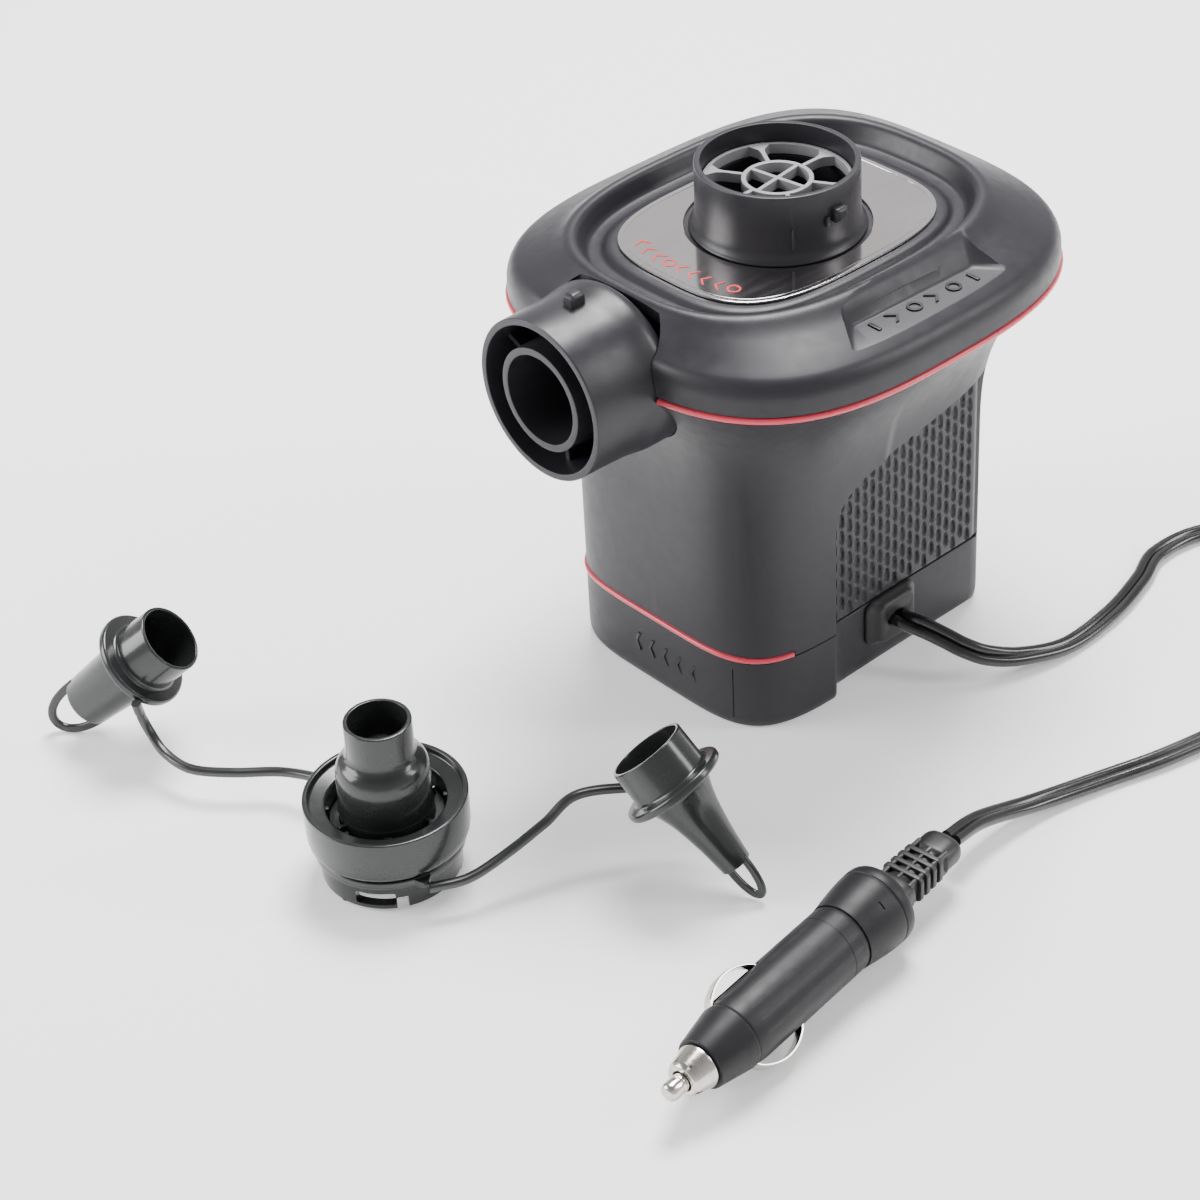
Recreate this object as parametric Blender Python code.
"""Twelve-volt electric air mattress pump with its nozzle set and vehicle-socket plug.

The pump stands on the floor with its suction port on top and its discharge port on the front (-Y).
The supply cord leaves the base on the +X side. The nozzle set lies in front of the pump and the
plug lies at its front right corner.

Frame: origin on the floor under the suction port's axis, +Z up, -Y along the discharge port.
Lengths are in millimetres and are turned into metres when a mesh is made.
Turned pieces are given as (radius, height) outlines about their own axis.
"""
import itertools
import math

import bmesh
import bpy
from mathutils import Matrix, Vector

MM = 0.001
GAP = 0.3                    # clearance between neighbouring pieces
SHARP_ANGLE = math.radians(32.0)
PATH_STEPS = 3               # steps between two points of a smooth path

# ---- pump casing ---------------------------------------------------------------------------
# An outline's shape is (half width, half depth, squareness).
CAP_H = 23.4                 # height of the base cap
HOUSE_Z0 = CAP_H + GAP
HOUSE_WALL = 2.6
SEAM_Z = 118.8               # middle of the parting seam between housing and cover
SEAM_HALF = 1.1
HOUSE_Z1 = SEAM_Z - SEAM_HALF
COVER_Z0 = SEAM_Z + SEAM_HALF
FLARE_Z0 = 62.0              # the body starts to flare out here
FRONT = (43.5, 53.6, 4.7)    # front half of the body
REAR = (42.8, 52.6, 5.2)     # rear half of the body
BODY_INSIDE = (36.6, 50.0, 5.0)
FLANK_X = 39.25              # flat side panels, set back between the front pillars
FLANK_Y = -22.0              # where the side panels start behind the front pillars
COVER = (68.0, 72.3, 3.03)   # the cover's outline, depth taken at the front
COVER_REAR = 5.6             # the cover is this much deeper at the rear
RIDGE_Z = 138.9              # crest of the ridge round the label
LABEL_Z = 134.6              # top of the plateau the label sits on
PAN_Z = 131.5                # floor of the pan beside the ridge
LABEL = (34.2, 44.3, 3.26)
LABEL_HOLE = (26.9, 26.9, 2.0)
SUCTION_R = 22.0             # opening in the plateau

TRIM_DEPTH, TRIM_H = 1.4, 1.6      # lower trim strip, let into the body
TRIM_HALF = math.radians(48.0)     # its half angle, seen from above
TRIM_STEPS = 26

SCREW_X, SCREW_Y = 30.6, 43.4      # base screws
SCREW_SPOTS = [(sx * SCREW_X, sy * SCREW_Y) for sx in (-1, 1) for sy in (-1, 1)]
SCREW_HOLE_R = 1.75
SWITCH_Z = 58.0
SWITCH_BODY = (7.6, 11.0)          # half width and half height of the part inside the wall
SWITCH_PLAY = 0.4
SWITCH_AXIS_Y = 49.2
CORD_Y, CORD_Z = 4.5, 16.0         # where the cord leaves the base
GROMMET = (6.6, 6.1)               # half width and half height of the grommet's body

# ---- ports ---------------------------------------------------------------------------------
INLET_R, INLET_BORE = 23.5, 21.7
INLET_TOP = 155.2
OUTLET_Z = 117.3             # height of the discharge port's axis
OUTLET_Y = 91.2              # distance of its mouth from the suction port's axis
OUTLET_R = 23.85
INNER_R, INNER_BORE = 15.25, 13.1
OUTLET_OPENING_R = 26.3      # opening for the port in the casing
GRILLE_Z0, GRILLE_Z1 = 146.0, 149.4
# Turns a shape made about Z so that its +Z runs along -Y at the discharge port's height.
OUTLET_FRAME = Matrix.Translation((0, 0, OUTLET_Z)) @ Matrix.Rotation(math.radians(90), 4, "X")

# ---- motor and impeller --------------------------------------------------------------------
SHAFT_R = 1.6
ROTOR_BORE = SHAFT_R + GAP
BUSH_R, BUSH_LENGTH = 4.3, 5.0
BUSH_HOLE_R = BUSH_R + GAP
CAN_R, CAN_Z0, CAN_Z1 = 17.5, 34.0, 82.0
MOTOR_SCREW_X = 10.0
PLATE_Z0, PLATE_Z1 = 85.0, 88.0
VOLUTE_R, VOLUTE_WALL = 39.0, 2.0
VOLUTE_Z1 = 127.0
IMPELLER_R = 33.0
BLADES = 8

# ---- plug ----------------------------------------------------------------------------------
PLUG_TIP = (130.9, -172.3)   # on the floor plan
PLUG_DIR = math.radians(96.4)
PLUG_Z = 11.8                # height of the plug's axis
BARREL_R = 9.8
CONTACT_TURN = 38            # degrees the side contacts are turned about the plug's axis
CONTACT_START, CONTACT_LENGTH = 24.4, 18.2
CONTACT_END = CONTACT_START + CONTACT_LENGTH
BOOT_END = 116.0             # rear end of the strain relief
CORD_END = BOOT_END + 2.4
# Plug pieces are made about Z from the tip; this lays them down along the plug's axis.
PLUG_FRAME = (Matrix.Translation((*PLUG_TIP, PLUG_Z)) @ Matrix.Rotation(PLUG_DIR, 4, "Z")
              @ Matrix.Rotation(math.radians(90), 4, "Y"))

# ---- nozzle set ----------------------------------------------------------------------------
SET_XY = (5.5, -158.3)       # axis of the connector
SET_FRAME = Matrix.Translation((*SET_XY, 0))
CUP_R, CUP_Z1 = 22.5, 25.5
GROOVE_R, GROOVE_Z0, GROOVE_Z1 = 18.5, 8.4, 11.4     # groove of the tether ring
EAR_Z0, EAR_Z1 = 9.0, 10.8                           # ears on the tether ring


# ============================================================================================
# helpers
# ============================================================================================
def clear_scene():
    for obj in list(bpy.data.objects):
        bpy.data.objects.remove(obj, do_unlink=True)


def shift(x, y):
    return Matrix.Translation((x, y, 0))


def about_z(degrees):
    return Matrix.Rotation(math.radians(degrees), 4, "Z")


def place(name, shape, mat, matrix=None):
    """Turn a bmesh in millimetres into an object in metres, faces pointing out."""
    bmesh.ops.remove_doubles(shape, verts=shape.verts, dist=1e-4)
    if matrix is not None:
        bmesh.ops.transform(shape, matrix=matrix, verts=shape.verts)
    bmesh.ops.scale(shape, vec=(MM, MM, MM), verts=shape.verts)
    bmesh.ops.recalc_face_normals(shape, faces=shape.faces)
    mesh = bpy.data.meshes.new(name)
    shape.to_mesh(mesh)
    shape.free()
    mesh.materials.append(mat)
    mesh.shade_smooth()
    mesh.set_sharp_from_angle(angle=SHARP_ANGLE)
    obj = bpy.data.objects.new(name, mesh)
    bpy.context.scene.collection.objects.link(obj)
    return obj


def skin(rings, closed=False):
    """A bmesh over a stack of equal rings; capped at both ends, or closed into a tube wall."""
    shape = bmesh.new()
    made = [[shape.verts.new(p) for p in ring_points] for ring_points in rings]
    count = len(made[0])
    pairs = list(zip(made, made[1:])) + ([(made[-1], made[0])] if closed else [])
    for lower, upper in pairs:
        for i in range(count):
            j = (i + 1) % count
            shape.faces.new((lower[i], lower[j], upper[j], upper[i]))
    if not closed:
        shape.faces.new(made[0])
        shape.faces.new(list(reversed(made[-1])))
    return shape


def turned(profile, steps):
    """A solid of revolution about Z from a closed (radius, height) outline."""
    shape = bmesh.new()
    verts = [shape.verts.new((r, 0.0, z)) for r, z in profile]
    # an edge on the axis would sweep no face
    edges = [shape.edges.new(pair) for pair in zip(verts, verts[1:] + verts[:1])
             if not all(v.co.x < 1e-6 for v in pair)]
    bmesh.ops.spin(shape, geom=verts + edges, cent=(0, 0, 0), axis=(0, 0, 1), angle=2 * math.pi,
                   steps=steps, use_merge=True)
    return shape


def pipe(inner, outer, z0, z1, steps):
    return turned([(inner, z0), (outer, z0), (outer, z1), (inner, z1)], steps)


def rod(radius, z0, z1, steps):
    return pipe(0, radius, z0, z1, steps)


def slab(points, axis, low, high):
    """Straight extrusion of an outline: (y, z) points along X, (x, z) along Y, (x, y) along Z."""
    def spot(u, v, w):
        return {"X": (w, u, v), "Y": (u, w, v), "Z": (u, v, w)}[axis]

    shape = bmesh.new()
    face = shape.faces.new([shape.verts.new(spot(u, v, low)) for u, v in points])
    made = bmesh.ops.extrude_face_region(shape, geom=[face])
    moved = [v for v in made["geom"] if isinstance(v, bmesh.types.BMVert)]
    bmesh.ops.translate(shape, verts=moved, vec=spot(0.0, 0.0, high - low))
    return shape


def block(x0, x1, y0, y1, z0, z1):
    return slab([(x0, y0), (x1, y0), (x1, y1), (x0, y1)], "Z", z0, z1)


def round_rect(half_u, half_v, corner, mid_u=0.0, mid_v=0.0, steps=5):
    """Corner-rounded rectangle as a list of points."""
    points = []
    for su, sv, start in ((1, 1, 0), (-1, 1, 90), (-1, -1, 180), (1, -1, 270)):
        for k in range(steps + 1):
            angle = math.radians(start + 90.0 * k / steps)
            points.append((mid_u + su * (half_u - corner) + corner * math.cos(angle),
                           mid_v + sv * (half_v - corner) + corner * math.sin(angle)))
    return points


def oval(half_u, half_v, steps, power=2.0):
    """Superellipse as a list of points; a power above 2 makes it squarer."""
    points = []
    for k in range(steps):
        angle = 2 * math.pi * k / steps
        c, s = math.cos(angle), math.sin(angle)
        points.append((half_u * math.copysign(abs(c) ** (2 / power), c),
                       half_v * math.copysign(abs(s) ** (2 / power), s)))
    return points


def arc_band(outer, inner, start, sweep, steps):
    """Outline of a curved strip between two radii; angles in degrees."""
    angles = [math.radians(start + sweep * k / steps) for k in range(steps + 1)]
    return ([(outer * math.cos(a), outer * math.sin(a)) for a in angles]
            + [(inner * math.cos(a), inner * math.sin(a)) for a in reversed(angles)])


def swept(path, outline, up=Vector((0, 0, 1))):
    """Sweep an (across, above) outline along a path, keeping it upright."""
    rings = []
    for i, p in enumerate(path):
        along = (path[min(i + 1, len(path) - 1)] - path[max(i - 1, 0)]).normalized()
        side = along.cross(up).normalized()
        top = side.cross(along)
        rings.append([p + side * u + top * v for u, v in outline])
    return skin(rings)


def smooth_path(points):
    """Catmull-Rom curve through the given points."""
    knots = [Vector(p) for p in points]
    knots = [2 * knots[0] - knots[1]] + knots + [2 * knots[-1] - knots[-2]]
    curve = []
    for a, b, c, d in zip(knots, knots[1:], knots[2:], knots[3:]):
        for k in range(PATH_STEPS):
            t = k / PATH_STEPS
            curve.append(0.5 * (2 * b + (c - a) * t + (2 * a - 5 * b + 4 * c - d) * t * t
                                + (3 * b - a - 3 * c + d) * t ** 3))
    curve.append(knots[-2])
    return curve


tool_numbers = itertools.count(1)


def modify(target, shape, how, matrix):
    """Apply a hidden tool to the target with an exact Boolean."""
    number = next(tool_numbers)
    tool = place("tool_%02d" % number, shape, target.data.materials[0], matrix)
    tool.hide_render = True
    tool.display_type = "WIRE"
    boolean = target.modifiers.new(how.lower() + "_%02d" % number, "BOOLEAN")
    boolean.operation = how
    boolean.solver = "EXACT"
    boolean.object = tool


def cut(target, shape, matrix=None):
    modify(target, shape, "DIFFERENCE", matrix)


def join(target, shape, matrix=None):
    modify(target, shape, "UNION", matrix)


def pivot(name, x, y, z, *children):
    """An empty on a joint's axis that carries the pieces which move with it."""
    empty = bpy.data.objects.new(name, None)
    empty.empty_display_size = 0.01
    empty.location = (x * MM, y * MM, z * MM)
    bpy.context.scene.collection.objects.link(empty)
    bpy.context.view_layer.update()
    for child in children:
        child.parent = empty
        child.matrix_parent_inverse = empty.matrix_world.inverted()
    return empty


# ============================================================================================
# outlines of the casing
# ============================================================================================
STEP_A = math.atan2(FLANK_Y, FRONT[0])      # direction of the step behind the +X pillar
# Even directions round the casing, with a close pair at each pillar's step.
THETAS = sorted([math.radians(-90 + 360.0 * i / 44) for i in range(44)]
                + [middle + d for middle in (STEP_A, math.pi - STEP_A) for d in (-0.001, 0.001)])


def radius(theta, shape):
    half_width, half_depth, squareness = shape
    c, s = abs(math.cos(theta)), abs(math.sin(theta))
    return ((c / half_width) ** squareness + (s / half_depth) ** squareness) ** (-1.0 / squareness)


def body_radius(theta):
    """The body's outline: bowed front, squarer rear."""
    return radius(theta, FRONT if math.sin(theta) < 0 else REAR)


def flanked_radius(theta):
    """The body's outline with the flat side panels behind the two front pillars."""
    r = body_radius(theta)
    behind_step = math.atan2(-math.sin(theta), abs(math.cos(theta))) < -STEP_A
    if math.sin(theta) * r > FLANK_Y and (math.sin(theta) >= 0 or behind_step):
        r = min(r, FLANK_X / max(1e-6, abs(math.cos(theta))))
    return r


def cover_radius(theta, shape=COVER, rear=COVER_REAR):
    """The cover's outline, deeper behind the suction port and fuller on the cord side."""
    half_width, half_depth, squareness = shape
    at_rear = math.sin(theta) > 0
    if math.cos(theta) < 0:
        half_width -= 0.6 * rear
        squareness += 0.13 * rear if at_rear else 0.0
    elif at_rear:
        squareness -= 0.03 * rear
    return radius(theta, (half_width, half_depth + (rear if at_rear else 0.0), squareness))


def ring(z, radius_at):
    return [(radius_at(t) * math.cos(t), radius_at(t) * math.sin(t), z) for t in THETAS]


def cover_ring(z, shape, rear=0.0):
    return ring(z, lambda t: cover_radius(t, shape, rear))


def flare(z):
    """0 on the straight part of the body, 1 at the parting seam."""
    return max(0.0, min(1.0, (z - FLARE_Z0) / (HOUSE_Z1 - FLARE_Z0))) ** 2.8


def house_outer_ring(z):
    s = flare(z)
    return ring(z, lambda t: (1 - s) * body_radius(t) + s * cover_radius(t))


def house_inner_ring(z):
    s = flare(z)
    return ring(z, lambda t: (1 - s) * radius(t, BODY_INSIDE) + s * (cover_radius(t) - HOUSE_WALL))


def pan_ring(z):
    """Outline of the pan in the cover's slope at one height, carried past the outer side."""
    t = (z - PAN_Z) / 6.5
    front = (50.6 - 2.3 * t, -23.3 - 2.7 * t)
    back = (52.6 - 6.1 * t, 23.0 + 3.3 * t)
    points = [front, (51.5 - 3.8 * t, -5.0), (52.2 - 5.0 * t, 10.5), back,
              (back[0] + 16.0, back[1] + 11.8), (front[0] + 16.0, front[1] - 15.4)]
    return [(x, y, z) for x, y in points]


def front_arc(section, extra_angle=0.0):
    """An (offset, height) section carried round the front of the body's outline."""
    half = TRIM_HALF + extra_angle
    rings = []
    for k in range(TRIM_STEPS + 1):
        t = -math.pi / 2 - half + 2 * half * k / TRIM_STEPS
        r = body_radius(t)
        rings.append([((r + d) * math.cos(t), (r + d) * math.sin(t), z) for d, z in section])
    return skin(rings)


# ============================================================================================
# casing
# ============================================================================================
# height, inset from the body's outline; up the outside and down to the inside floor
CAP_STATIONS = [(0.0, 1.8), (0.5, 0.7), (2.0, 0.0), (CAP_H, 0.0), (CAP_H, 2.6), (3.0, 2.9)]
# radius, height of the stepped screw hole in the base cap
CAP_SCREW_HOLE = [(0, -1), (3.7, -1), (3.7, 1.6), (1.9, 1.6), (1.9, 12), (0, 12)]
HOUSE_OUTER_Z = (HOUSE_Z0, 64, 72, 80, 91, 99, 106, 112, HOUSE_Z1)
HOUSE_INNER_Z = (HOUSE_Z1, 110, 100, 88, 66, HOUSE_Z0)
# y, z of the recess over each side panel
FLANK_OUTLINE = [(FLANK_Y, 10), (60, 10), (60, 87.0), (46, 84.5), (8, 77.5), (-10, 73.2),
                 (-15.5, 71.0), (-19.6, 67.6), (-21.5, 63.0), (FLANK_Y, 58.0)]
# height, half width, half depth, squareness, extra depth at the rear;
# over the outside to the suction opening and back along the underside
COVER_STATIONS = [
    (COVER_Z0, 67.5, 71.8, 3.03, 5.6), (COVER_Z0 + 0.7, *COVER, COVER_REAR),
    (126.4, 67.8, 72.1, 3.03, 5.6), (129.4, 66.0, 70.6, 3.0, 5.4),
    (132.0, 61.0, 67.0, 2.93, 4.4), (136.4, 50.9, 62.4, 2.8, 1.5),
    (138.4, 48.0, 60.5, 2.77, 0.4), (RIDGE_Z, 46.3, 59.0, 2.76, 0),
    (138.0, 44.4, 57.1, 2.76, 0), (133.2, 42.0, 54.0, 2.85, 0),
    (132.2, 40.2, 52.0, 2.9, 0), (132.2, 37.4, 48.6, 3.1, 0),
    (LABEL_Z, 35.8, 46.4, 3.26, 0), (LABEL_Z, SUCTION_R, SUCTION_R, 2.0, 0),
    (132.1, SUCTION_R, SUCTION_R, 2.0, 0), (132.1, 33.6, 44.2, 3.2, 0),
    (129.8, 37.4, 48.6, 3.1, 0), (129.8, 41.0, 52.9, 2.9, 0),
    (134.4, 45.2, 57.6, 2.8, 0), (136.0, 46.9, 59.2, 2.77, 0.2),
    (134.3, 50.2, 61.4, 2.8, 1.0), (128.2, 63.2, 68.0, 2.95, 4.8),
    (126.4, 65.2, 69.6, 3.0, 5.4), (COVER_Z0, 65.4, 69.8, 3.03, 5.6)]
# x, z of the material under the pan
PAN_BACKING = [(46.2, 135.8), (50.3, 134.2), (58.6, 130.6), (58.6, 129.4), (48.6, 129.4),
               (44.9, 133.8)]


def cut_outlet_opening(target, start=40):
    """Cut the discharge port's opening, starting this far in front of the suction axis."""
    cut(target, rod(OUTLET_OPENING_R, start, 110, 28), OUTLET_FRAME)


def base_cap(mat):
    """A cup with the supply cord's entry on +X."""
    rings = [ring(z, lambda t, d=inset: flanked_radius(t) - d) for z, inset in CAP_STATIONS]
    cap = place("base_cap", skin(rings), mat)
    for spot in SCREW_SPOTS:
        cut(cap, turned(CAP_SCREW_HOLE, 12), shift(*spot))
    half_y, half_z = GROMMET
    cut(cap, slab(round_rect(half_y + GAP, half_z + GAP, 2.0, CORD_Y, CORD_Z), "X", 30, 46))


def lower_housing(mat):
    """Straight body that flares out to the parting seam."""
    rings = [house_outer_ring(z) for z in HOUSE_OUTER_Z]
    rings += [house_inner_ring(z) for z in HOUSE_INNER_Z]
    house = place("lower_housing", skin(rings, closed=True), mat)
    cut(house, slab(FLANK_OUTLINE, "X", FLANK_X, 70))
    cut(house, slab(FLANK_OUTLINE, "X", -70, -FLANK_X))
    # screw posts
    for spot in SCREW_SPOTS:
        join(house, rod(4.2, 26.0, 52, 10), shift(*spot))
        cut(house, rod(SCREW_HOLE_R, 20, 46, 8), shift(*spot))
    # seat of the lower trim strip, across the front only
    depth, bottom, top = TRIM_DEPTH + GAP, HOUSE_Z0 - 3, HOUSE_Z0 + TRIM_H + GAP
    cut(house, front_arc([(-depth, bottom), (6, bottom), (6, top), (-depth, top)], 0.02))
    cut_outlet_opening(house)
    half_x, half_z = SWITCH_BODY
    hole = round_rect(half_x + SWITCH_PLAY, half_z + SWITCH_PLAY, 1.0, 0, SWITCH_Z, 2)
    cut(house, slab(hole, "Y", 44, 66))


def lower_trim_strip(mat):
    place("lower_trim_strip", front_arc([
        (-TRIM_DEPTH, HOUSE_Z0), (0.45, HOUSE_Z0), (0.65, HOUSE_Z0 + TRIM_H / 2),
        (0.45, HOUSE_Z0 + TRIM_H), (-TRIM_DEPTH, HOUSE_Z0 + TRIM_H)]), mat)


def upper_trim_ring(mat):
    """Ring in the parting seam."""
    low, high = SEAM_Z - SEAM_HALF + GAP, SEAM_Z + SEAM_HALF - GAP
    section = [(low, -2.2), (low, 0.35), (SEAM_Z, 0.6), (high, 0.35), (high, -2.2)]
    rings = [ring(z, lambda t, d=offset: cover_radius(t) + d) for z, offset in section]
    trim = place("upper_trim_ring", skin(rings, closed=True), mat)
    cut_outlet_opening(trim)


def upper_cover(mat):
    """Wall, shoulder, ridge, moat and label plateau with the suction opening."""
    rings = [cover_ring(z, shape, rear) for z, *shape, rear in COVER_STATIONS]
    cover = place("upper_cover", skin(rings, closed=True), mat)
    # pan on the cord side: level floor, walls that lean out towards the ridge and both ends
    join(cover, slab(PAN_BACKING, "Y", -30.5, 30.5))
    cut(cover, skin([pan_ring(z) for z in (PAN_Z, 138.0, 141.0)]))
    cut_outlet_opening(cover, 61.3)


def label_plate(mat):
    low, high = LABEL_Z + GAP, LABEL_Z + 0.9
    place("label_plate", skin([cover_ring(low, LABEL), cover_ring(high, LABEL),
                               cover_ring(high, LABEL_HOLE), cover_ring(low, LABEL_HOLE)],
                              closed=True), mat)


def build_casing(mats):
    base_cap(mats["shell"])
    lower_housing(mats["shell"])
    lower_trim_strip(mats["trim"])
    upper_trim_ring(mats["trim"])
    upper_cover(mats["shell"])
    label_plate(mats["label"])


# ============================================================================================
# ports
# ============================================================================================
# radius, distance in front of the suction axis
OUTLET_PROFILE = [
    (23.3, OUTLET_Y), (OUTLET_R, OUTLET_Y - 0.6), (OUTLET_R + 0.1, 81), (24.6, 76), (25.5, 71.8),
    (25.9, 68.8), (25.3, 65.6), (23.4, 63.0), (21.0, 61.7), (INNER_R, 61.7), (INNER_R, 57.6),
    (INNER_BORE, 57.6), (INNER_BORE, OUTLET_Y - 0.3), (INNER_R, OUTLET_Y - 0.3),
    (INNER_R, 73.0), (21.7, 73.0), (21.8, OUTLET_Y)]
INLET_Z0 = LABEL_Z + GAP
INLET_PROFILE = [
    (23.1, INLET_TOP), (INLET_R, INLET_TOP - 0.5), (INLET_R + 0.1, 142.0), (23.9, 139.4),
    (24.8, 137.2), (25.8, 135.6), (26.0, INLET_Z0), (SUCTION_R - GAP, INLET_Z0),
    (SUCTION_R - GAP, 128.0), (20.4, 128.0), (20.4, 145.6), (INLET_BORE, 145.6),
    (INLET_BORE, INLET_TOP)]
# x, y of one grille spoke, splayed at its outer end
SPOKE = [(9.8, -0.65), (17.0, -0.65), (20.9, -3.2), (20.9, 3.2), (17.0, 0.65), (9.8, 0.65)]


def outlet_port(mat):
    """Outer bayonet tube, annular groove and inner tube in one moulding."""
    port = place("outlet_port", turned(OUTLET_PROFILE, 28), mat, OUTLET_FRAME)
    # webs across the groove
    for k in range(3):
        web = block(INNER_R - 1.0, 22.6, -0.9, 0.9, 70, 84.0)
        join(port, web, OUTLET_FRAME @ about_z(35 + 120 * k))
    # lug on top
    join(port, block(-1.9, 1.9, 22.5, 27.6, 74.4, 79.2), OUTLET_FRAME)
    # half sleeve that closes the root of the port against the lower housing
    join(port, slab(arc_band(25.85, 24.0, 182, 176.0, 14), "Z", 53.6, 66.0), OUTLET_FRAME)


def inlet_port(mat):
    """Bayonet collar standing on the plateau."""
    inlet = place("inlet_port", turned(INLET_PROFILE, 28), mat)
    join(inlet, block(22.6, 26.2, -2.6, 1.6, 145.2, 149.4))
    cut(inlet, block(24.7, 28.0, -5.4, 3.4, 136.6, 138.6))


def inlet_grille(mat):
    """Two rings, a cross inside the small one and six spokes between them."""
    low, high = GRILLE_Z0 + 0.4, GRILLE_Z1 - 0.2
    grille = place("inlet_grille", pipe(20.3, 21.4, GRILLE_Z0, GRILLE_Z1, 28), mat)
    join(grille, pipe(9.0, 10.4, GRILLE_Z0, GRILLE_Z1, 20))
    for k in range(2):
        join(grille, block(-9.6, 9.6, -0.65, 0.65, low, high), about_z(90 * k))
    for k in range(6):
        join(grille, slab(SPOKE, "Z", low, high), about_z(30 + 60 * k))


def build_ports(mats):
    outlet_port(mats["shell"])
    inlet_port(mats["shell"])
    inlet_grille(mats["shell"])


# ============================================================================================
# motor and impeller
# ============================================================================================
# y, z of the centres along the duct from the scroll to the discharge port
DUCT_OUTSIDE = ((-30.0, 110.6), (-44.0, 111.4), (-50.0, 112.8), (-54.0, 114.4), (-57.2, 116.6))
DUCT_INSIDE = ((-29.0, 110.6), (-43.5, 111.4), (-50.3, 112.9), (-54.2, 114.5), (-57.4, 116.7),
               (-60.0, 118.4))
SCROLL_BORE = [
    (0, PLATE_Z1 + GAP - 1), (VOLUTE_R - VOLUTE_WALL, PLATE_Z1 + GAP - 1),
    (VOLUTE_R - VOLUTE_WALL, VOLUTE_Z1 - VOLUTE_WALL), (19.5, VOLUTE_Z1 - VOLUTE_WALL),
    (19.5, VOLUTE_Z1 + 1), (0, VOLUTE_Z1 + 1)]
MOTOR_SCREW = [
    (0, 79.0), (1.4, 79.0), (1.4, PLATE_Z1 + GAP), (2.8, PLATE_Z1 + GAP), (2.6, PLATE_Z1 + 1.8),
    (0, PLATE_Z1 + 2.1)]
CAN_PROFILE = [
    (CAN_R, CAN_Z0), (CAN_R, CAN_Z1), (BUSH_HOLE_R, CAN_Z1), (BUSH_HOLE_R, CAN_Z1 - 1.5),
    (CAN_R - 1.4, CAN_Z1 - 1.5), (CAN_R - 1.4, CAN_Z0)]
END_CAP_PROFILE = [
    (BUSH_HOLE_R, CAN_Z0 - 3.2), (CAN_R, CAN_Z0 - 3.2), (CAN_R, CAN_Z0 - GAP),
    (CAN_R - 1.8, CAN_Z0 - GAP), (CAN_R - 1.8, CAN_Z0 + 2.5), (CAN_R - 3.2, CAN_Z0 + 2.5),
    (CAN_R - 3.2, CAN_Z0 - 1.0), (BUSH_HOLE_R, CAN_Z0 - 1.0)]
SHAFT_PROFILE = [(0, 28.0), (SHAFT_R - 0.2, 28.0), (SHAFT_R, 28.4), (SHAFT_R, 107.5),
                 (SHAFT_R - 0.3, 107.9), (0, 107.9)]
COMMUTATOR_PROFILE = [(ROTOR_BORE, 36.6), (4.0, 36.6), (4.0, 41.5), (5.0, 42.2), (5.0, 42.7),
                      (ROTOR_BORE, 42.7)]
IMPELLER_PROFILE = [
    (ROTOR_BORE, 91.0), (IMPELLER_R, 91.0), (IMPELLER_R, 92.6), (9.0, 93.6), (5.4, 98.0),
    (4.6, 106.0), (ROTOR_BORE, 106.0)]
SIDES = ((-1, "left"), (1, "right"))


def cut_motor_screw_holes(target, z0, z1):
    for sign, _ in SIDES:
        cut(target, rod(SCREW_HOLE_R, z0, z1, 8), shift(sign * MOTOR_SCREW_X, 0))


def motor_mount_plate(mat):
    """Bulkhead that carries the motor and closes the impeller chamber from below."""
    plate = place("motor_mount_plate", pipe(BUSH_HOLE_R, VOLUTE_R, PLATE_Z0, PLATE_Z1, 28), mat)
    cut_motor_screw_holes(plate, 80, 92)


def motor_screws(mat):
    for sign, side in SIDES:
        place("motor_screw_" + side, turned(MOTOR_SCREW, 10), mat, shift(sign * MOTOR_SCREW_X, 0))


def duct(radius_out, stations):
    return skin([[(u, y, z + v) for u, v in oval(radius_out, radius_out, 20)]
                 for y, z in stations])


def scroll_housing(mat):
    """Chamber round the impeller with a duct to the discharge port."""
    scroll = place("scroll_housing", rod(VOLUTE_R, PLATE_Z1 + GAP, VOLUTE_Z1, 20), mat)
    join(scroll, duct(14.6, DUCT_OUTSIDE))
    cut(scroll, turned(SCROLL_BORE, 20))
    cut(scroll, duct(12.7, DUCT_INSIDE))


def motor_can(mat):
    """Can open below."""
    can = place("motor_can", turned(CAN_PROFILE, 22), mat)
    cut_motor_screw_holes(can, CAN_Z1 - 5, CAN_Z1 + 2)


def motor_end_cap(mat):
    place("motor_end_cap", turned(END_CAP_PROFILE, 22), mat)


def magnets(mat):
    band = arc_band(CAN_R - 1.8, CAN_R - 4.4, -62, 124.0, 10)
    for sign, side in SIDES:
        place("magnet_" + side, slab([(sign * x, y) for x, y in band], "Z", 42, 74), mat)


def bushes(mat):
    for name, z in (("upper_bush", CAN_Z1 - 1.2), ("lower_bush", CAN_Z0 - 3.0)):
        place(name, pipe(SHAFT_R + 0.06, BUSH_R, z, z + BUSH_LENGTH, 16), mat)


def motor_shaft(mat):
    return place("motor_shaft", turned(SHAFT_PROFILE, 16), mat)


def armature(mat):
    """Core with five slots along it."""
    core = []
    for k in range(60):
        angle = 2 * math.pi * k / 60
        r = 7.0 if k % 12 in (0, 1) else 12.2
        core.append((r * math.cos(angle), r * math.sin(angle)))
    arm = place("armature", skin([[(x, y, z) for x, y in core] for z in (43, 72)]), mat)
    cut(arm, rod(ROTOR_BORE, 40, 76, 16))
    return arm


def commutator(mat):
    return place("commutator", turned(COMMUTATOR_PROFILE, 16), mat)


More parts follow.
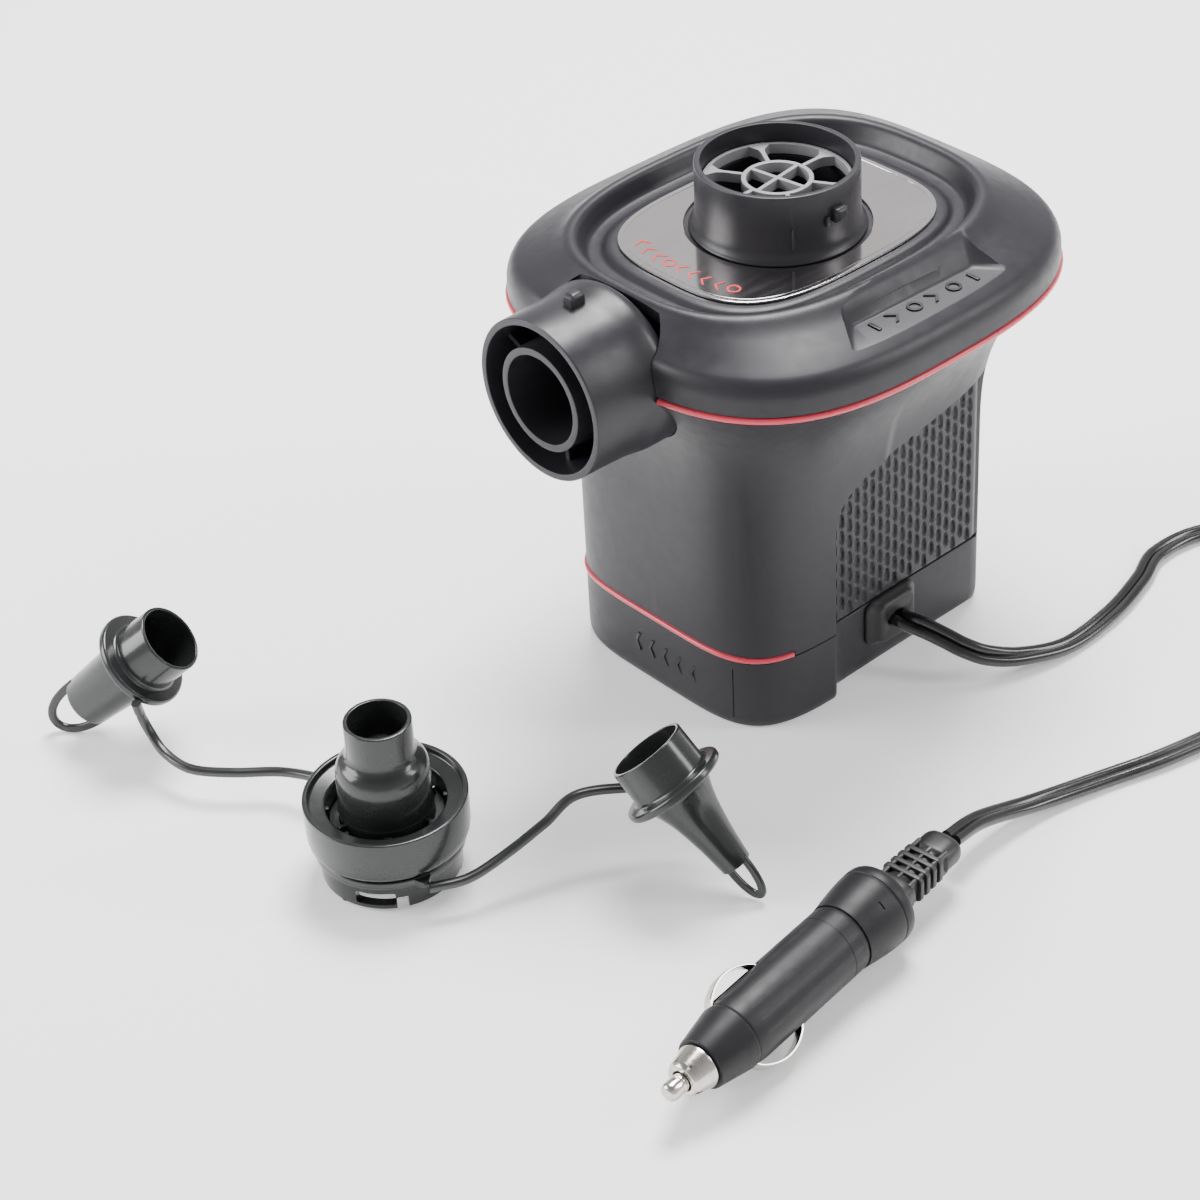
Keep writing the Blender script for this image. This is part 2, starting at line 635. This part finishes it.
def blade_edge(offset):
    """One long side of a blade, set off from its curved middle line."""
    root, tip = 10.0, IMPELLER_R - 1.2
    points = []
    for j in range(6):
        r = root + (tip - root) * j / 5
        angle = math.radians(52.0 * j / 5)
        points.append((r * math.cos(angle) - offset * math.sin(angle + 0.7),
                       r * math.sin(angle) + offset * math.cos(angle + 0.7)))
    return points


def impeller(mat):
    wheel = place("impeller", turned(IMPELLER_PROFILE, 28), mat)
    outline = blade_edge(0.55) + blade_edge(-0.55)[::-1]
    for k in range(BLADES):
        join(wheel, slab(outline, "Z", 92.0, 105.0), about_z(360 * k / BLADES))
    return wheel


def build_drive(mats):
    motor_mount_plate(mats["inner"])
    motor_screws(mats["steel"])
    scroll_housing(mats["inner"])
    motor_can(mats["steel"])
    motor_end_cap(mats["inner"])
    magnets(mats["ferrite"])
    bushes(mats["brass"])
    pivot("rotor_axis", 0, 0, 92, motor_shaft(mats["steel"]), armature(mats["copper"]),
          commutator(mats["copper"]), impeller(mats["inner"]))


# ============================================================================================
# base screws, switch and grommet
# ============================================================================================
BASE_SCREW = [(0, 0.6), (0.9, 0.6), (1.2, 0.2), (3.1, 0.2), (3.3, 0.7), (3.3, 1.3), (1.45, 1.3),
              (1.45, 38), (0.6, 40), (0, 40)]
# y, height from the switch's middle
ROCKER = [(47.2, 7.4), (52.4, 9.0), (55.1, 8.6), (53.8, 0.0), (55.1, -8.6), (52.4, -9.0),
          (47.2, -7.4)]
# x, half width, half height, corner radius of the grommet's outer flange
GROMMET_FLANGE = [(FLANK_X + GAP, 10.4, 7.9, 3.4), (40.6, 10.0, 7.8, 3.3),
                  (42.6, 7.6, 7.2, 2.8), (43.2, 7.0, 6.6, 2.4)]


def base_screws(mat):
    """Screws numbered anticlockwise from the front left, seen from above."""
    for number, i in enumerate((0, 2, 3, 1), start=1):
        place("base_screw_%d" % number, turned(BASE_SCREW, 10), mat, shift(*SCREW_SPOTS[i]))


def switch_frame(mat):
    """Frame of the switch on the rear wall."""
    frame = place("switch_frame",
                  slab(round_rect(9.6, 13.2, 1.6, 0, SWITCH_Z, 3), "Y", 53.1, 54.8), mat)
    join(frame, slab(round_rect(*SWITCH_BODY, 0.8, 0, SWITCH_Z, 2), "Y", 39.2, 53.7))
    cut(frame, slab(round_rect(6.3, 9.9, 0.4, 0, SWITCH_Z, 2), "Y", 41.2, 58.2))


def switch_rocker(mat):
    section = [(y, SWITCH_Z + z) for y, z in ROCKER]
    rocker = place("switch_rocker", slab(section, "X", -5.9, 5.9), mat)
    pivot("switch_axis", 0, SWITCH_AXIS_Y, SWITCH_Z, rocker)


def cord_grommet(mat):
    """Grommet in the base, open along X for the cord."""
    body = round_rect(*GROMMET, 1.8, CORD_Y, CORD_Z)
    grommet = place("cord_grommet", slab(body, "X", 35.0, 42.0), mat)
    join(grommet, skin([[(x, CORD_Y + u, CORD_Z + v) for u, v in round_rect(*size)]
                        for x, *size in GROMMET_FLANGE]))
    hole = [(CORD_Y + u, CORD_Z + v) for u, v in oval(3.4, 2.0, 14)]
    cut(grommet, slab(hole, "X", 30, 60))


def build_fittings(mats):
    base_screws(mats["steel"])
    switch_frame(mats["switch"])
    switch_rocker(mats["switch"])
    cord_grommet(mats["rubber"])


# ============================================================================================
# plug and cord
# ============================================================================================
# (radius, distance from the tip) outlines
BARREL_PROFILE = [
    (6.6, 12.3), (7.0, 12.3), (9.3, 23.0), (9.65, 24.6), (BARREL_R, 26.6), (BARREL_R, 68.0),
    (9.5, 69.2), (9.5, 73.0), (7.5, 73.0), (7.5, 28.0), (5.6, 18.5), (5.6, 12.3)]
COLLAR_PROFILE = [
    (BARREL_R + 0.2, 69.4), (10.2, 71.0), (11.1, 76.4), (11.5, 80.4), (11.6, 84.0), (11.3, 86.2),
    (10.4, 87.4), (8.6, 87.4), (5.0, 87.4), (5.0, 85.6), (8.9, 85.6), (9.8, 82.0), (9.8, 69.4)]
NOSE_PROFILE = [
    (3.0, 5.2), (4.4, 5.2), (5.0, 6.0), (6.2, 11.4), (6.2, 12.0), (5.3, 12.0), (5.3, 17.0),
    (4.4, 17.0), (4.4, 10.4), (3.4, 7.4), (3.0, 7.4)]
TIP_PROFILE = [(0, -0.7), (1.5, -0.6), (2.3, 0.1), (2.6, 1.2), (2.6, 10.9), (3.9, 10.9),
               (3.9, 13.6), (0, 13.6)]
FUSE_PROFILE = [(0, 13.9), (3.1, 13.9), (3.1, 18.4), (2.8, 18.7), (2.8, 34.2), (3.1, 34.5),
                (3.1, 39.2), (0, 39.2)]
TERMINAL_PROFILE = [(0, 54.2), (3.6, 54.2), (3.6, 56.0), (1.4, 56.0), (1.4, 66.0), (0, 66.0)]
# distance from the tip, half height, half width of the strain relief
BOOT_STATIONS = [(87.9, 4.4, 6.7), (93.8, 4.3, 6.6), (95.4, 3.4, 4.4), (108.0, 3.3, 4.1),
                 (108.8, 4.0, 6.0), (114.6, 3.9, 5.9), (BOOT_END, 3.2, 5.0)]
CORD_LOW = 1.75              # height of the cord's middle where it lies on the floor
# x, y, z along the cord from the motor side of the grommet to just before the plug
CORD_ROUTE = [
    (33.0, CORD_Y, CORD_Z), (40.0, CORD_Y, CORD_Z), (46.0, CORD_Y + 0.2, CORD_Z),
    (52.0, 6.6, 15.2), (58.0, 9.2, 13.2), (63.4, 12.0, 10.8), (68.4, 17.0, 8.0),
    (73.0, 27.0, 4.8), (76.8, 43.8, CORD_LOW), (75.9, 65.0, CORD_LOW), (71.5, 84.0, CORD_LOW),
    (66.6, 98.3, CORD_LOW), (69.0, 116.0, CORD_LOW), (80.0, 131.0, CORD_LOW),
    (99.0, 137.0, CORD_LOW), (118.0, 128.0, CORD_LOW), (131.0, 106.0, CORD_LOW),
    (137.0, 80.0, CORD_LOW), (136.5, 52.0, CORD_LOW), (131.0, 24.0, CORD_LOW),
    (123.6, 1.0, CORD_LOW), (118.2, -20.0, 3.6)]


def plug_point(distance):
    """Point on the plug's axis at a distance from its tip."""
    return (Vector((*PLUG_TIP, PLUG_Z))
            + Vector((math.cos(PLUG_DIR), math.sin(PLUG_DIR), 0)) * distance)


def plug_turned(name, profile, steps, mat):
    return place(name, turned(profile, steps), mat, PLUG_FRAME)


def plug_barrel(mat):
    """Barrel with a slot for each side contact."""
    barrel = plug_turned("plug_barrel", BARREL_PROFILE, 24, mat)
    for turn in (180, 0):
        slot = block(-2.6, 2.6, 4.0, 14.0, CONTACT_START - 1.2, CONTACT_END + 1.2)
        cut(barrel, slot, PLUG_FRAME @ about_z(CONTACT_TURN) @ about_z(turn))
    return barrel


def tip_spring(mat):
    turns, steps = 5.0, 45
    coil = []
    for k in range(steps + 1):
        angle = 2 * math.pi * turns * k / steps
        coil.append(Vector((2.3 * math.cos(angle), 2.3 * math.sin(angle),
                            40.0 + 13.2 * k / steps)))
    return place("tip_spring", swept(coil, oval(0.4, 0.4, 5)), mat, PLUG_FRAME)


def side_contact(sign, side, mat):
    """Bowed strip with both ends turned in."""
    arc = [(CONTACT_START, 8.0)]
    for k in range(11):
        f = k / 10
        arc.append((CONTACT_START + CONTACT_LENGTH * f, 9.0 + 4.0 * math.sin(math.pi * f) ** 0.7))
    arc.append((CONTACT_END, 8.0))
    path = [Vector((0, sign * r, z)) for z, r in arc]
    strip = swept(path, oval(2.0, 0.35, 8, 4.0), up=Vector((0, sign, 0.15)))
    return place("side_contact_" + side, strip, mat, PLUG_FRAME @ about_z(CONTACT_TURN))


def strain_relief(mat):
    """Strain relief with ladder ribs."""
    angles = [2 * math.pi * (k + 0.5) / 14 for k in range(14)]
    rings = [[(height * math.cos(t), width * math.sin(t), z) for t in angles]
             for z, height, width in BOOT_STATIONS]
    boot = place("strain_relief", skin(rings), mat, PLUG_FRAME)
    for k in range(4):
        z = 96.0 + 3.0 * k
        rib = round_rect(3.95, 6.3 - 0.1 * k, 1.6, steps=2)
        join(boot, slab(rib, "Z", z, z + 1.5), PLUG_FRAME)
    return boot


def power_cord(mat):
    """Two cores side by side, from the grommet's motor end round to the strain relief."""
    near = plug_point(CORD_END + 14)
    end = plug_point(CORD_END)
    pair = []
    for k in range(10):
        t = 2 * math.pi * k / 10
        waist = 0.72 + 0.55 * abs(math.cos(t))
        pair.append((3.0 * math.cos(t), 1.6 * math.sin(t) * waist))
    route = CORD_ROUTE + [(near.x, near.y, 9.0), end]
    place("power_cord", swept(smooth_path(route), pair), mat)


def build_plug(mats):
    fixed = [
        plug_barrel(mats["plug"]),
        plug_turned("plug_collar", COLLAR_PROFILE, 24, mats["plug"]),
        plug_turned("plug_nose", NOSE_PROFILE, 22, mats["nickel"]),
        tip_spring(mats["steel"]),
        plug_turned("rear_terminal", TERMINAL_PROFILE, 12, mats["brass"]),
        strain_relief(mats["plug"])]
    tip_axis = pivot("tip_axis", *plug_point(0),
                     plug_turned("tip_contact", TIP_PROFILE, 16, mats["nickel"]),
                     plug_turned("fuse", FUSE_PROFILE, 12, mats["glass"]))
    middle = plug_point(CONTACT_START + CONTACT_LENGTH / 2)
    contact_axes = [pivot("side_contact_axis_%d" % i, *middle,
                          side_contact(sign, side, mats["nickel"]))
                    for i, (sign, side) in enumerate(SIDES)]
    pivot("plug_axis", *plug_point(CORD_END - 1.2), *fixed, tip_axis, *contact_axes)
    power_cord(mats["cord"])


# ============================================================================================
# nozzle set
# ============================================================================================
CUP_PROFILE = [
    (16.6, 0.4), (18.8, 0.4), (19.3, 1.0), (19.5, GROOVE_Z0), (GROOVE_R, GROOVE_Z0),
    (GROOVE_R, GROOVE_Z1), (20.6, 11.8), (22.2, 13.0), (CUP_R, 14.8), (CUP_R, CUP_Z1 - 0.4),
    (CUP_R - 0.4, CUP_Z1), (CUP_R - 1.6, CUP_Z1), (CUP_R - 2.0, CUP_Z1 - 1.6),
    (16.4, CUP_Z1 - 2.4), (16.2, 16.0), (13.3, 16.0), (13.3, 14.0), (16.6, 12.6)]
CONNECTOR_PROFILE = [
    (8.0, 50.5), (8.9, 50.5), (9.2, 50.1), (9.2, 40.0), (9.5, 39.2), (11.6, 37.8), (12.6, 35.6),
    (12.8, 33.4), (12.8, 17.8), (15.8, 17.8), (15.8, 16.3), (11.4, 16.3), (11.4, 33.0),
    (8.0, 37.6)]
TETHER_RING_PROFILE = [
    (GROOVE_R + GAP, GROOVE_Z0 + GAP), (20.6, GROOVE_Z0 + GAP), (20.9, 9.2), (20.9, 10.6),
    (20.6, GROOVE_Z1 - GAP), (GROOVE_R + GAP, GROOVE_Z1 - GAP)]
# Each loose nozzle, angles in degrees:
#   tip, heading, rise   where its tip rests and how its axis points from there
#   profile              radius, distance from the tip
#   loop                 half width, foot and reach of the loop over the tip
#   loop_section         half sizes of the loop's section
#   ear_angle            where its tether leaves the tether ring
#   strap_angle, strap_z where its tether meets the nozzle's flange
#   bends                x, y, z along the tether between its ends
NOZZLES = {
    "medium": dict(
        tip=(-110.8, -190.1, 2.2), heading=38.5, rise=41.5,
        profile=[(6.9, 15.0), (7.9, 14.6), (9.5, 37.0), (13.9, 37.4), (14.4, 38.0), (14.4, 39.6),
                 (13.9, 40.2), (10.3, 40.4), (10.2, 51.4), (9.9, 51.8), (9.1, 51.8),
                 (9.1, 39.0), (6.5, 17.0)],
        loop=(6.9, 16.0, 15.2), loop_section=(1.3, 0.9),
        ear_angle=168.0, strap_angle=-75.0, strap_z=38.8,
        bends=[(-24.5, -156.3, 11.0), (-38.0, -161.8, 9.4), (-48.9, -172.0, 9.0),
               (-58.5, -178.9, 9.0), (-68.0, -180.6, 10.4), (-74.3, -180.5, 14.0),
               (-76.8, -181.2, 19.2)]),
    "small": dict(
        tip=(89.3, -98.7, 1.9), heading=-161.4, rise=48.9,
        profile=[(3.2, 11.6), (4.5, 11.2), (5.6, 21.0), (7.5, 31.0), (9.8, 37.2), (14.3, 38.0),
                 (14.8, 38.6), (14.8, 40.0), (14.3, 40.6), (11.1, 40.8), (11.0, 51.2),
                 (10.7, 51.6), (9.9, 51.6), (9.9, 40.0), (6.3, 31.0), (4.4, 21.0), (3.1, 13.0)],
        loop=(3.6, 12.6, 11.9), loop_section=(1.2, 0.8),
        ear_angle=-14.0, strap_angle=-25.0, strap_z=39.3,
        bends=[(34.5, -155.0, 10.4), (37.0, -144.0, 13.2), (39.8, -132.0, 18.4),
               (42.6, -121.4, 24.0)]),
}


def nozzle_frame(spec):
    """Nozzle pieces are made about Z from their tip; this stands them up leaning on the tip."""
    return (Matrix.Translation(spec["tip"]) @ about_z(spec["heading"])
            @ Matrix.Rotation(math.radians(90 - spec["rise"]), 4, "Y"))


def connector_cup(mat):
    """Cup with a bayonet skirt below."""
    cup = place("connector_cup", turned(CUP_PROFILE, 28), mat, SET_FRAME)
    for k in range(3):
        cut(cup, block(14, 21, -5.5, 5.5, 2.2, 6.2), SET_FRAME @ about_z(-52 + 120 * k))
    return cup


def connector_nozzle(mat):
    return place("connector_nozzle", turned(CONNECTOR_PROFILE, 24), mat, SET_FRAME)


def tether_ring(mat):
    """Ring in the groove under the cup, with an ear for each tether."""
    loose_ring = place("tether_ring", turned(TETHER_RING_PROFILE, 28), mat, SET_FRAME)
    for spec in NOZZLES.values():
        join(loose_ring, slab(round_rect(1.9, 1.5, 0.5, steps=2), "Z", EAR_Z0, EAR_Z1),
             SET_FRAME @ about_z(spec["ear_angle"]) @ shift(21.2, 0))
    return loose_ring


def loose_nozzle(name, spec, mat):
    """A nozzle with a loop over its tip."""
    frame = nozzle_frame(spec)
    nozzle = place(name + "_nozzle", turned(spec["profile"], 22), mat, frame)
    half_width, foot, reach = spec["loop"]
    angles = [math.pi * k / 10 for k in range(11)]
    path = [Vector((half_width * math.cos(a), 0, foot - reach * math.sin(a) ** 0.8))
            for a in angles]
    section = oval(*spec["loop_section"], 8, 3.0)
    join(nozzle, swept(path, section, up=Vector((0, 1, 0))), frame)
    return nozzle


def tether_root(spec):
    """Where a tether starts, outside its ear on the tether ring."""
    angle = math.radians(spec["ear_angle"])
    return Vector((SET_XY[0] + 24.7 * math.cos(angle), SET_XY[1] + 24.7 * math.sin(angle),
                   (EAR_Z0 + EAR_Z1) / 2))


def tether(name, spec, mat):
    """Round strap from the ring's ear up to the nozzle's flange."""
    angle = math.radians(spec["strap_angle"])
    end = nozzle_frame(spec) @ Vector((16.2 * math.cos(angle), 16.2 * math.sin(angle),
                                       spec["strap_z"]))
    path = smooth_path([tether_root(spec)] + spec["bends"] + [end])
    return place("tether_" + name, swept(path, oval(1.35, 1.35, 8)), mat)


def build_set(mats):
    connector = [connector_cup(mats["nozzle"]), connector_nozzle(mats["nozzle"]),
                 tether_ring(mats["tether"])]
    axes = [pivot(name + "_axis", *tether_root(spec), loose_nozzle(name, spec, mats["nozzle"]),
                  tether(name, spec, mats["tether"]))
            for name, spec in NOZZLES.items()]
    pivot("set_origin", *SET_XY, 0, *connector, *axes)


# ============================================================================================
# materials
# ============================================================================================
MATERIALS = {
    "shell": dict(colour=(0.075, 0.075, 0.085), roughness=0.5),
    "trim": dict(colour=(0.75, 0.06, 0.09), roughness=0.42),
    "label": dict(colour=(0.72, 0.70, 0.71), roughness=0.15, metallic=1.0),
    "inner": dict(colour=(0.05, 0.05, 0.055), roughness=0.55),
    "steel": dict(colour=(0.55, 0.55, 0.56), roughness=0.35, metallic=1.0),
    "ferrite": dict(colour=(0.06, 0.055, 0.05), roughness=0.7),
    "brass": dict(colour=(0.62, 0.45, 0.2), roughness=0.35, metallic=1.0),
    "copper": dict(colour=(0.6, 0.3, 0.18), roughness=0.4, metallic=1.0),
    "switch": dict(colour=(0.02, 0.02, 0.022), roughness=0.4),
    "rubber": dict(colour=(0.02, 0.02, 0.022), roughness=0.6),
    "plug": dict(colour=(0.02, 0.02, 0.025), roughness=0.38),
    "nickel": dict(colour=(0.72, 0.7, 0.66), roughness=0.22, metallic=1.0),
    "glass": dict(colour=(0.75, 0.78, 0.78), roughness=0.1),
    "cord": dict(colour=(0.015, 0.015, 0.017), roughness=0.35),
    "nozzle": dict(colour=(0.035, 0.04, 0.04), roughness=0.3),
    "tether": dict(colour=(0.04, 0.045, 0.045), roughness=0.35),
}


def material(name, colour, roughness, metallic=0.0):
    mat = bpy.data.materials.new(name)
    mat.use_nodes = True
    inputs = mat.node_tree.nodes["Principled BSDF"].inputs
    inputs["Base Color"].default_value = (*colour, 1.0)
    inputs["Roughness"].default_value = roughness
    inputs["Metallic"].default_value = metallic
    mat.diffuse_color = (*colour, 1.0)
    return mat


def main():
    clear_scene()
    mats = {name: material(name, **look) for name, look in MATERIALS.items()}
    build_casing(mats)
    build_ports(mats)
    build_drive(mats)
    build_fittings(mats)
    build_plug(mats)
    build_set(mats)


main()
